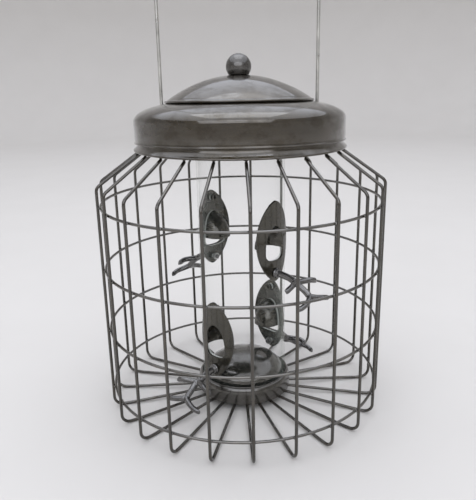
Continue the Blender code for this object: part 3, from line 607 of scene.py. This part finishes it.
def make_hoops():
    """Hoops in a lighter copy of the wire paint, a painted highlight, with two small weld beads where each
    bar crosses, and the plain one under the dish in the bars' own paint.
    """
    weld, bead, bead_aside, bead_stray = 0.12 * MM, 0.95 * MM, 0.9 * MM, 0.5 * MM
    hub_radius = 30 * MM
    radius = CAGE_R - BAR_R - HOOP_R + weld
    for i in range(HOOP_COUNT):
        name = f"hoop_{i + 1}"
        height = middle_of(name)
        ring = circle(radius, height, 160)
        parts = [wire(ring, HOOP_R, (0, 0, 1), 12, closed=True, wobble=0.02, seed=i * 7.7)]
        for k in range(BAR_COUNT):
            round_axis = Matrix.Rotation(bar_turn(k), 3, "Z")
            for side in (-1, 1):
                stray = bead_stray * noise.noise(Vector((k, i, side)))
                place = round_axis @ Vector((radius + HOOP_R, side * bead_aside, height + stray))
                parts.append(blob(place, bead, k + i * 31 + side, (1, 1, 1.1)))
        piece(f"{name}_wire", joined(parts), HOOP_HIGHLIGHT_PAINT, "feeder", name, angle=60)
    hub = wire(circle(hub_radius, middle_of("hub_hoop"), 72), HOOP_R, (0, 0, 1), 12, closed=True)
    piece("hub_hoop_wire", hub, WIRE, "feeder", "hub_hoop", angle=60)


def make_collar():
    """The neck, its trumpet flare and the rolled lip, plus a weld fillet at each bar's end."""
    low, top = bottom_of("collar"), top_of("collar") - NECK_SHORT
    outer, inner, edge = 80.6 * MM, 79.6 * MM, 0.4 * MM
    flare_top, flare_drop, flare_out = 6.9 * MM, 5.5 * MM, 3.4 * MM
    flare_power, flare_steps = 2.2, 12
    roll, roll_middle = 0.75 * MM, 83.45 * MM
    shares = [i / flare_steps for i in range(flare_steps + 1)]
    flare = [(outer + flare_out * share**flare_power, low + flare_top - flare_drop * share)
             for share in shares]
    profile = [
        (outer - edge, top), (outer, top - edge), *flare, *arc(roll_middle, low + roll, roll, 55, -90, 8),
        (82.6 * MM, low + 0.05 * MM), (81.2 * MM, low + 0.55 * MM), (inner, low + 0.6 * MM),
        (inner, top - edge), (inner + 0.3 * MM, top),
    ]
    parts = [turned(profile, 184)]
    for k in range(BAR_COUNT):
        place = Matrix.Rotation(bar_turn(k), 3, "Z") @ Vector((outer, 0, low - 0.15 * MM))
        parts.append(blob(place, 1.5 * MM, k * 1.7, (1, 1, 0.6)))
    spun_piece("collar", joined(parts), PEWTER)


# Cover, lid, knob and bail

def tipped(node, drop=0.0):
    """How the cover and what lies on it lean, about the node's lowest height."""
    pivot = Vector((0, 0, bottom_of(node)))
    askew = Matrix.Rotation(COVER_TILT, 4, "X") @ Matrix.Translation(-pivot)
    return Matrix.Translation(pivot + Vector((0, 0, -drop))) @ askew


def crown_points(radii, outer, base, rise):
    """Points of a crown that springs upright from a radius and flattens towards its middle."""
    power = 2.25
    shares = [min(1.0, r / outer) for r in radii]
    return [(r, base + rise * (1 - share**power) ** (1 / power)) for r, share in zip(radii, shares)]


def make_cover():
    """The spun cover, which sits a little askew on the neck, front up, as loose as the real one."""
    low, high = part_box("cover")
    base, rim = low.z + 17.0 * MM, high.z - 1.6 * MM
    outer, inner = 83.0 * MM, 82.2 * MM
    rise, inner_rise = 17.0 * MM, 16.1 * MM
    mouth, neck = 50.0 * MM, 50.9 * MM
    hem, hem_middle = 0.72 * MM, 82.6 * MM
    shares = [sin(radians(90 * i / 22)) for i in range(1, 22)]
    above = [neck, *[neck + (outer - neck) * share for share in shares[2:]]]
    below = [*[mouth + (inner - mouth) * share for share in reversed(shares)], mouth]
    (_, neck_foot), *crown = crown_points(above, outer, base, rise)
    profile = [
        (mouth + 0.15 * MM, rim - 0.1 * MM), (mouth + 0.45 * MM, rim), (neck - 0.15 * MM, rim - 0.1 * MM),
        (neck, rim - 0.5 * MM), (neck, neck_foot + 1.4 * MM), (neck + 0.5 * MM, neck_foot + 0.25 * MM),
        *crown, (outer, base - 0.4 * MM),
        (outer - 0.2 * MM, low.z + 3.4 * MM), (outer - 0.35 * MM, low.z + 2.3 * MM),
        *arc(hem_middle, low.z + 0.95 * MM, hem, 75, -100, 9),
        (inner + 0.05 * MM, low.z + 0.5 * MM), (inner - 0.1 * MM, low.z + 3 * MM), (inner, base),
        *crown_points(below, inner, base, inner_rise),
    ]
    mesh = turned(profile, 184)
    mesh.transform(tipped("cover", COVER_DROP))
    cover = spun_piece("cover", mesh, PEWTER, "cover")
    drilled(cover, 2.3 * MM)


def make_lid():
    """A shallow dome with a rolled rim, a faint ring round the knob and small dents."""
    low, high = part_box("filler_lid")
    rim, top = low.z + 0.95 * MM - LID_DROP, high.z + 0.02 * MM
    sheet, edge, roll = 0.9 * MM, 57.3 * MM, 0.93 * MM
    dent, dent_start, dent_end, dent_scale = 0.22 * MM, 12 * MM, 54 * MM, 42
    rise = top - rim - 0.35 * MM
    sphere = (edge**2 + rise**2) / (2 * rise)

    def dome(r_mm, under=0.0, sunk=0.0):
        r = r_mm * MM
        return r, top - sphere + sqrt((sphere - under) ** 2 - r**2) - sunk

    profile = [
        *[dome(r) for r in (2.4, 5, 8, 9.4)], dome(10.2, sunk=0.10 * MM), dome(11.0, sunk=0.16 * MM),
        *[dome(r) for r in (12.2, 15, 20, 25, 30, 35, 40, 44, 48, 51, 53.5, 55.0)],
        dome(56.2, sunk=0.05 * MM),
        *arc(edge + 0.05 * MM, rim, roll, 105, -110, 14),
        *[dome(r, sheet, 0.03 * MM) for r in (55.6, 50.9, 40, 30, 20, 10, 2.4)],
    ]
    mesh = turned(profile, 168)
    for v in mesh.vertices:
        r = sqrt(v.co.x**2 + v.co.y**2)
        if dent_start < r < dent_end:
            fade = sin(pi * (r - dent_start) / (dent_end - dent_start))
            v.co.z -= dent * fade * max(0.0, noise.noise(v.co * dent_scale + Vector((4.0, 1.0, 0))))
    mesh.transform(tipped("filler_lid"))
    spun_piece("filler_lid", mesh, PEWTER, "filler_lid")


def make_knob():
    """A slightly hammered ball, flat where it sits, on its stud."""
    low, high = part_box("knob")
    radius, flat, stud, edge = 10 * MM, 7 * MM, 2 * MM, 0.2 * MM
    seat = high.z - radius - sqrt(radius**2 - flat**2)
    shrink, depth, broad_scale, fine_scale, sunk = 0.988, 0.014, 230, 520, 0.45 * MM
    shape = bmesh.new()
    bmesh.ops.create_icosphere(shape, subdivisions=5, radius=radius)
    for v in shape.verts:
        dent = noise.noise(v.co * broad_scale) * 0.6 + noise.noise(v.co * fine_scale) * 0.3
        v.co *= shrink + depth * dent
        v.co.z = max(v.co.z + high.z - radius - KNOB_DROP, seat - sunk)
    ball = to_mesh(shape)
    top = seat + 1 * MM
    profile = [(0, low.z), (stud - edge, low.z), (stud, low.z + edge), (stud, top), (0, top)]
    spun = turned(profile, 24, closed=False)
    mesh = joined([ball, spun])
    mesh.transform(tipped("filler_lid"))
    piece("knob_ball", mesh, KNOB, "filler_lid", "knob", angle=60)


def make_bail():
    """One wire: hooked under the top plate, straight up through the cover and over in a half circle."""
    low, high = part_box("bail")
    wire_r, bend, bend_end, hook_end = 1.3 * MM, 3 * MM, 3.5 * MM, 54.2 * MM
    under, shoulder = low.z + wire_r, high.z - wire_r - BAIL_HALF
    spans = 14
    start = under + bend_end
    hook = rounded([(hook_end, under), (BAIL_HALF, under), (BAIL_HALF, shoulder)], (bend,), 8)[:-1]
    straight = [(BAIL_HALF, start + (shoulder - start) * i / spans) for i in range(1, spans)]
    half = [*hook, *straight, *arc(0, shoulder, BAIL_HALF, 0, 90, 32)]
    path = [(x, 0, z) for x, z in half] + [(-x, 0, z) for x, z in reversed(half[:-1])]
    mesh = wire(path, wire_r * WIRE_SHARE, (0, 1, 0), 16, wobble=0.015)
    piece("bail_wire_bent", mesh, BAIL, "feeder", "bail")


# Top plate and tube band

def make_top_plate():
    """A flat plate with a turned-up rim, a hole for the tube and two for the bail's hooks."""
    low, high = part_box("top_plate")
    outer, middle, hole = high.x, 62 * MM, 37.5 * MM
    sheet, edge = 1 * MM, 0.2 * MM
    profile = [
        (outer - sheet, high.z - edge), (outer - 0.5 * sheet, high.z), (outer, high.z - 0.3 * MM),
        (outer, low.z + 1.2 * MM), (outer - 0.4 * MM, low.z + 0.4 * MM), (outer - 1.2 * MM, low.z),
        (hole + edge, low.z), (hole, low.z + edge), (hole, low.z + sheet - edge),
        (hole + edge, low.z + sheet), (middle, low.z + sheet), (outer - 2.2 * MM, low.z + sheet),
        (outer - 1.4 * MM, low.z + 1.3 * sheet), (outer - sheet, low.z + 2.2 * sheet),
    ]
    plate = spun_piece("top_plate", turned(profile, 144), PEWTER)
    drilled(plate, 2.5 * MM, 60.7 * MM)


def make_band():
    """A sleeve round the tube's mouth: its lip turns in over the wall, and its flange out over the plate."""
    low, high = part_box("tube_band")
    inner, flange, lip_in = 36.3 * MM, high.x, TUBE_IN + 0.2 * MM
    sheet, edge = 0.9 * MM, 0.3 * MM
    lip = high.z - sheet
    profile = [
        (TUBE_IN, high.z - edge), (lip_in, high.z), (inner + 0.4 * MM, high.z),
        (inner + sheet, high.z - 0.5 * MM), (inner + sheet, low.z + sheet + 0.6 * MM),
        (inner + sheet + 0.6 * MM, low.z + sheet), (flange - edge, low.z + sheet),
        (flange, low.z + sheet / 2), (flange - edge, low.z), (inner + edge, low.z),
        (inner, low.z + edge), (inner, lip), (lip_in, lip), (TUBE_IN, lip + edge),
    ]
    spun_piece("tube_band", turned(profile, 120), PEWTER)


# Dish and baffle

def make_dish():
    """The dish: rolled foot, skirt, shoulder and the groove that the tube stands in."""
    low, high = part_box("base_dish")
    top, floor = high.z, low.z + 5.4 * MM
    outer, channel, screw_hole, sheet = 40.3 * MM, 36.6 * MM, 2.3 * MM, 1.2 * MM
    brim, foot = 0.42 * MM, 0.55 * MM
    shoulder_start, shoulder_out, shoulder_drop = 36.95 * MM, 3.3 * MM, 6.6 * MM
    turns = [radians(a) for a in range(18, 91, 6)]
    shoulder = [(shoulder_start + shoulder_out * sin(a), top - 0.45 * MM - shoulder_drop * (1 - cos(a)))
                for a in turns]
    profile = [
        (screw_hole, floor), (channel - 0.8 * MM, floor), (channel - 0.2 * MM, floor + 0.2 * MM),
        (channel, floor + 0.8 * MM), (channel, top - 0.5 * MM),
        *arc(channel + brim, top - brim, brim, 180, 20, 6),
        (channel + 0.8 * MM, top - 0.75 * MM), *shoulder, (outer - 0.05 * MM, low.z + 2.4 * MM),
        *arc(outer - foot, low.z + foot, foot, 20, -110, 6),
        (outer - sheet, low.z + 0.4 * MM), (outer - sheet, top - 7.5 * MM),
        (channel + sheet, top - 4.0 * MM), (channel + sheet, floor - sheet + 0.6 * MM),
        (channel + 0.5 * MM, floor - sheet), (screw_hole, floor - sheet),
    ]
    spun_piece("base_dish", turned(profile, 144), PEWTER_DISH)


def make_baffle():
    """The seed baffle: a dome on a straight wall with a turned-out foot."""
    low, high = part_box("seed_baffle")
    radius, rise, foot, sheet = 33.6 * MM, 16.2 * MM, 35.7 * MM, 1 * MM
    spring, inside = high.z - rise, radius - sheet
    dome = [(radius * cos(radians(a)), spring + rise * sin(radians(a))) for a in range(86, -1, -5)]
    inner = [(inside * cos(radians(a)), spring + (rise - sheet) * sin(radians(a))) for a in range(0, 86, 12)]
    profile = [
        (0, high.z), *dome, (radius, low.z + sheet + 1.4 * MM),
        (radius + 0.4 * MM, low.z + sheet + 0.4 * MM), (radius + 1.2 * MM, low.z + sheet),
        (foot - 0.2 * MM, low.z + sheet), (foot, low.z + sheet / 2),
        (foot - 0.2 * MM, low.z), (inside, low.z), (inside, low.z + 2 * MM), *inner, (0, high.z - sheet),
    ]
    spun_piece("seed_baffle", turned(profile, 144, closed=False), PEWTER_DISH)


# Ports and tube

# How far from the axis a cut through the tube's wall or a leaf starts and ends
CUT_START, CUT_END = 30 * MM, 42 * MM


def at_port(angle, name):
    """Where a port is: what is made along +X from the foot of the leaf goes there."""
    return Matrix.Rotation(radians(angle) - pi / 2, 4, "Z") @ Matrix.Translation((0, 0, bottom_of(name)))


def arch(width, low, waist, high, steps=20):
    """An opening's outline: half an ellipse above the waist and a blunter bowl below it."""
    bluntness = 2 / 3
    turns = [pi * i / steps for i in range(steps + 1)]
    above = [(width / 2 * cos(a), waist + (high - waist) * sin(a)) for a in turns]
    below = []
    for angle in turns[1:-1]:
        across = -cos(angle)
        side = 1 if across > 0 else -1
        height = waist - (waist - low) * sin(angle) ** bluntness
        below.append((width / 2 * side * abs(across) ** bluntness, height))
    return above + below


def leaf(outer, inner):
    """Pointed oval bent round the tube."""
    length, width = 66 * MM, 36.8 * MM
    rows, columns, fullness = 44, 18, 0.65
    shape = bmesh.new()
    skins = []
    for radius in (outer, inner):
        tips = [shape.verts.new((radius, 0, height)) for height in (0, length)]
        grid = []
        for i in range(1, rows):
            share = -cos(pi * i / rows)
            height = length / 2 * (1 + share)
            half_turn = width / 2 * (1 - share**2) ** fullness / outer
            turns = [half_turn * (2 * k / columns - 1) for k in range(columns + 1)]
            grid.append([shape.verts.new((radius * cos(a), radius * sin(a), height)) for a in turns])
        for low, high in zip(grid, grid[1:]):
            for k in range(columns):
                shape.faces.new((low[k], low[k + 1], high[k + 1], high[k]))
        for k in range(columns):
            shape.faces.new((tips[0], grid[0][k + 1], grid[0][k]))
            shape.faces.new((tips[1], grid[-1][k], grid[-1][k + 1]))
        skins.append([tips[0], *[row[0] for row in grid], tips[1], *[row[-1] for row in reversed(grid)]])
    for k in range(len(skins[0])):
        shape.faces.new((skins[0][k - 1], skins[0][k], skins[1][k], skins[1][k - 1]))
    return to_mesh(shape)


def narrowed(share, lateness, bluntness):
    """Falls from 1 at the hood's mouth to 0 at its nose."""
    return max(0.0, 1 - share**lateness) ** bluntness


def hood_size(share):
    """Half width and rise of the hood's hollow at a share of its depth: a rounded nose, like a scoop's."""
    share = max(0.0, share)
    half = OPENING_WIDTH / 2 * narrowed(share, lateness=3.2, bluntness=0.42)
    rise = (OPENING_TOP - OPENING_WAIST) * narrowed(share, lateness=2.2, bluntness=0.62)
    return half, rise


def hood_section(share, wall, steps=24):
    """The hood's outline at a share of its depth: flat below and elliptical above."""
    reach, fullness = PORT_IN - HOOD_DEPTH * share, 0.85
    half, rise = [size + wall for size in hood_size(share)]
    section = []
    for i in range(steps + 1):
        angle = pi * i / steps
        across, height = half * cos(angle), OPENING_WAIST + rise * sin(angle) ** fullness
        bent = sqrt(reach**2 - across**2)
        section.append((bent + (reach - bent) * min(1.0, 2 * share), across, height))
    return section


def port_casting():
    """Leaf, scooped hood, boss, opening and stud hole in one casting, its edges rounded."""
    wall, boss, boss_bore = 1.25 * MM, 2.6 * MM, 1.3 * MM
    boss_end, boss_length, bore_start = PORT_OUT - 0.9 * MM, 5.2 * MM, 20 * MM
    shares = (0.0, 0.15, 0.3, 0.45, 0.6, 0.72, 0.82, 0.90, 0.96, 1.0)
    before_share, mouth_share, nose_share = -0.055, -0.35, 0.985
    hollow = []
    for share in (mouth_share, *shares[:-1], nose_share):
        half, rise = hood_size(share)
        reach = PORT_IN - (HOOD_DEPTH - wall * 0.6) * share
        outline = arch(2 * half, OPENING_FOOT, OPENING_WAIST, OPENING_WAIST + rise)
        hollow.append([(reach, y, z) for y, z in outline])
    mesh = cut_or_add(leaf(PORT_OUT, PORT_IN), [
        (lofted([hood_section(share, wall) for share in (before_share, *shares)]), "UNION"),
        (rod(boss, BOSS_HEIGHT, boss_end - boss_length, boss_end), "UNION"),
        (lofted(hollow), "DIFFERENCE"),
        (rod(boss_bore, BOSS_HEIGHT, bore_start, PORT_IN + 0.2 * MM), "DIFFERENCE"),
        (rod(STUD_HOLE, STUD_HEIGHT, CUT_START, CUT_END), "DIFFERENCE"),
    ])
    return cast(mesh, 0.36 * MM, 4)


def make_ports():
    casting = port_casting()
    for angle, name in PORTS:
        mesh = casting.copy()
        mesh.transform(at_port(angle, name))
        piece(f"{name}_casting", mesh, CAST, "feeder", name, angle=180)


def make_tube():
    """The clear tube, cut to clear each port's hood, boss and stud."""
    low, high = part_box("seed_tube")
    edge, hood_wall, gap, boss_hole = 0.3 * MM, 1.2 * MM, 0.6 * MM, 2.9 * MM
    profile = [
        (TUBE_IN, high.z - edge), (TUBE_IN + edge, high.z),
        (TUBE_OUT - edge, high.z), (TUBE_OUT, high.z - edge),
        (TUBE_OUT, low.z + edge), (TUBE_OUT - edge, low.z),
        (TUBE_IN + edge, low.z), (TUBE_IN, low.z + edge),
    ]
    roof = hood_wall * sqrt(1 + ((OPENING_TOP - OPENING_WAIST) / HOOD_DEPTH) ** 2)
    outline = arch(OPENING_WIDTH + 2 * (hood_wall + gap), OPENING_FOOT - gap, OPENING_WAIST,
                   OPENING_TOP + roof + gap)
    cuts = []
    for angle, name in PORTS:
        cutters = (
            lofted([[(reach, y, z) for y, z in outline] for reach in (CUT_START, CUT_END)]),
            rod(boss_hole, BOSS_HEIGHT, CUT_START, CUT_END),
            rod(STUD_HOLE, STUD_HEIGHT, CUT_START, CUT_END),
        )
        for cutter in cutters:
            cutter.transform(at_port(angle, name))
            cuts.append((cutter, "DIFFERENCE"))
    wall = turned(profile, 144)
    # A slight turn keeps the cutters' corners off the wall's edges
    wall.transform(Matrix.Rotation(0.011, 4, "Z"))
    piece("seed_tube_clear", cut_or_add(wall, cuts), CLEAR, "feeder", "seed_tube")


# Perches

def curve_points(points, steps):
    """A smooth curve through points."""
    extended = [2 * points[0] - points[1], *points, 2 * points[-1] - points[-2]]
    path = []
    for a, b, c, d in zip(extended, extended[1:], extended[2:], extended[3:]):
        for i in range(steps):
            t = i / steps
            path.append(0.5 * (2 * b + (c - a) * t + (2 * a - 5 * b + 4 * c - d) * t * t
                               + (3 * b - a - 3 * c + d) * t**3))
    path.append(points[-1])
    return path


def limb(points, radii, seed):
    """A twig's limb through points in mm: tapering, slightly knotty, bent at its joints."""
    path = curve_points([Vector(p) * MM for p in points], 7)
    spans = len(radii) - 1
    sizes = []
    for i in range(len(path)):
        share = i / (len(path) - 1) * spans
        k = min(int(share), spans - 1)
        sizes.append((radii[k] + (radii[k + 1] - radii[k]) * (share - k)) * MM)
    return wire(path, sizes, (0.13, 0.21, 1), 16, wobble=0.05, seed=seed)


def perch_casting(seed):
    """Stud, two ribbed collars, a stem, and two forks of hooked twigs. Places and radii are in mm."""
    spindle = [
        (29.65, 0), (29.65, 1.5), (38.35, 1.5),
        (38.45, 4.1), (38.8, 4.25), (39.35, 4.25), (39.6, 3.9), (39.65, 3.0), (39.95, 3.0),
        (40.05, 3.7), (40.35, 3.82), (40.7, 3.82), (40.95, 3.5), (41.05, 2.6),
        (41.9, 2.5), (42.6, 2.4), (42.6, 0),
    ]
    stem = [(41, 0, 0), (47, 0, -0.4), (53, 0.3, -1.6), (59, 0, -3.8)]
    onward = [(58, 0, -3.4), (63, -0.3, -5.4), (68.2, 0.2, -8.6), (73.2, 0, -12)]
    first_fork = [(58.6, 0, -3.8), (61.0, 5.4, -3.3), (63.9, 12.0, -3.2), (64.2, 18.2, -5.2)]
    second_fork = [(72.8, 0, -11.7), (75.6, 5.0, -13.0), (77.6, 11.4, -14.2), (76.8, 18.0, -16.2)]
    spun = turned([(r * MM, x * MM) for x, r in spindle], 40, closed=False)
    spun.transform(Matrix.Rotation(pi / 2, 4, "Y"))
    limbs = [spun, limb(stem, (2.8, 2.75, 2.7, 2.9), seed), limb(onward, (2.75, 2.55, 2.5, 2.6), seed + 1)]
    for side in (1, -1):
        first = [(x, side * y, z) for x, y, z in first_fork]
        second = [(x, side * y, z) for x, y, z in second_fork]
        limbs.append(limb(first, (2.6, 2.35, 2.25, 2.2), seed + 2 + side))
        limbs.append(limb(second, (2.5, 2.3, 2.2, 2.15), seed + 6 + side))
    limbs.append(blob(Vector((59.2, 0, -3.9)) * MM, 2.7 * MM, seed + 9))
    limbs.append(blob(Vector((73.0, 0, -11.9)) * MM, 2.5 * MM, seed + 11))
    return cast(joined(limbs), 0.26 * MM, 9)


def drooped(mesh, angle):
    """Bends the limbs down from the collars; the stud stays level."""
    turn = Matrix.Rotation(radians(angle), 4, "Y")
    root = Vector((PERCH_ROOT, 0, 0))
    for v in mesh.vertices:
        if v.co.x > root.x:
            v.co = root + turn @ (v.co - root)


def make_perches():
    """Four alike; the two at the back hang lower, as in the photograph."""
    casting = perch_casting(2.0)
    for k, (angle, port) in enumerate(PORTS):
        name = f"perch_{k + 1}"
        mesh = casting.copy()
        drooped(mesh, PERCH_DROOP.get(name, 0))
        mesh.transform(at_port(angle, port) @ Matrix.Translation((0, 0, STUD_HEIGHT)))
        piece(f"{name}_twig", mesh, TWIG, "feeder", name, angle=180)


def soften_fasteners():
    """Small chamfers on the nuts, the screw and the clamp plate, which keep their CAD shapes."""
    perch_nuts = [f"perch_nut_{k}" for k in range(1, 5)]
    for name in ("knob_nut", "base_nut", "base_screw", "clamp_plate", *perch_nuts):
        chamfer = frame["nodes"][name].modifiers.new("chamfer", "BEVEL")
        chamfer.width = 0.22 * MM
        chamfer.segments = 2
        chamfer.limit_method = "ANGLE"
        chamfer.angle_limit = radians(28)


make_bars()
make_hoops()
make_collar()
make_cover()
make_lid()
make_knob()
make_bail()
make_top_plate()
make_band()
make_dish()
make_baffle()
make_ports()
make_tube()
make_perches()
soften_fasteners()


# Camera, floor and light

def make_camera():
    """Pinhole camera fitted to the cage: its angles, its place and its focal length in pixels."""
    pitch, roll, yaw = radians(-16.29), radians(-1.20), radians(-0.46)
    place = Vector((0.41, -470.5, 266.3)) * MM
    focal_pixels, picture_pixels, sensor = 581.7, 500, 36
    forward = Vector((sin(yaw) * cos(pitch), cos(yaw) * cos(pitch), sin(pitch)))
    right = Vector((cos(yaw), -sin(yaw), 0))
    up = right.cross(forward)
    c, s = cos(roll), sin(roll)
    right, up = c * right + s * up, -s * right + c * up
    data = bpy.data.cameras.new("camera")
    data.sensor_width = sensor
    data.lens = focal_pixels * sensor / picture_pixels
    data.clip_start = 0.01
    camera = new_object("camera", data)
    axes = Matrix((right, up, -forward)).transposed()
    camera.matrix_world = Matrix.Translation(place) @ axes.to_4x4()
    bpy.context.scene.camera = camera


def make_stage():
    """A pale floor that curves up all round."""
    flat, bend, wall = 2.4, 0.7, 2.2
    profile = [
        *[(flat * i / 3, 0) for i in range(4)], *arc(flat, bend, bend, -85, -5, 16),
        (flat + bend, wall / 2), (flat + bend, wall),
    ]
    mesh = turned(profile, 96, closed=False)
    mesh.shade_smooth()
    floor = new_object("floor", mesh)
    floor.location.z = -0.2 * MM
    m = Nodes("floor_look")
    m.put(Roughness=0.75, Specular_IOR_Level=0.2)
    m.to("Base Color", m.mix(m.noise(9, 3), (0.585, 0.562, 0.528), (0.615, 0.592, 0.558)))
    mesh.materials.append(m.mat)


def lamp(name, place, target, size, watts, colour):
    data = bpy.data.lights.new(name, "AREA")
    data.shape = "RECTANGLE"
    data.size, data.size_y = size
    data.energy = watts
    data.color = colour
    obj = new_object(name, data)
    obj.location = place
    obj.rotation_euler = (Vector(target) - Vector(place)).to_track_quat("-Z", "Y").to_euler()


def make_world():
    """Soft light: bright and slightly cool above, dimmer towards the horizon."""
    stops = ((0.22, (0.10, 0.10, 0.10)), (0.42, (0.60, 0.62, 0.68)), (0.80, (0.88, 0.91, 1.0)))
    world = bpy.data.worlds.new("studio")
    bpy.context.scene.world = world
    world.use_nodes = True
    tree = world.node_tree
    back = tree.nodes["Background"]
    coords = tree.nodes.new("ShaderNodeTexCoord")
    split = tree.nodes.new("ShaderNodeSeparateXYZ")
    tree.links.new(coords.outputs["Generated"], split.inputs[0])
    ramp = tree.nodes.new("ShaderNodeValToRGB")
    ramp.color_ramp.elements.new(0.5)
    for element, (position, colour) in zip(ramp.color_ramp.elements, stops):
        element.position = position
        element.color = (*colour, 1)
    tree.links.new(split.outputs["Z"], ramp.inputs["Fac"])
    tree.links.new(ramp.outputs["Color"], back.inputs["Color"])
    back.inputs["Strength"].default_value = 1.62


make_camera()
make_stage()
make_world()
lamp("overhead", place=(0.0, 0.1, 1.60), target=(0, 0.1, 0.2), size=(1.2, 1.2), watts=7,
     colour=(0.88, 0.92, 1.0))
lamp("front", place=(-0.1, -1.35, 0.85), target=(0, 0, 0.2), size=(2.2, 0.8), watts=10,
     colour=(0.86, 0.90, 1.0))

bpy.context.scene.view_settings.view_transform = "Standard"
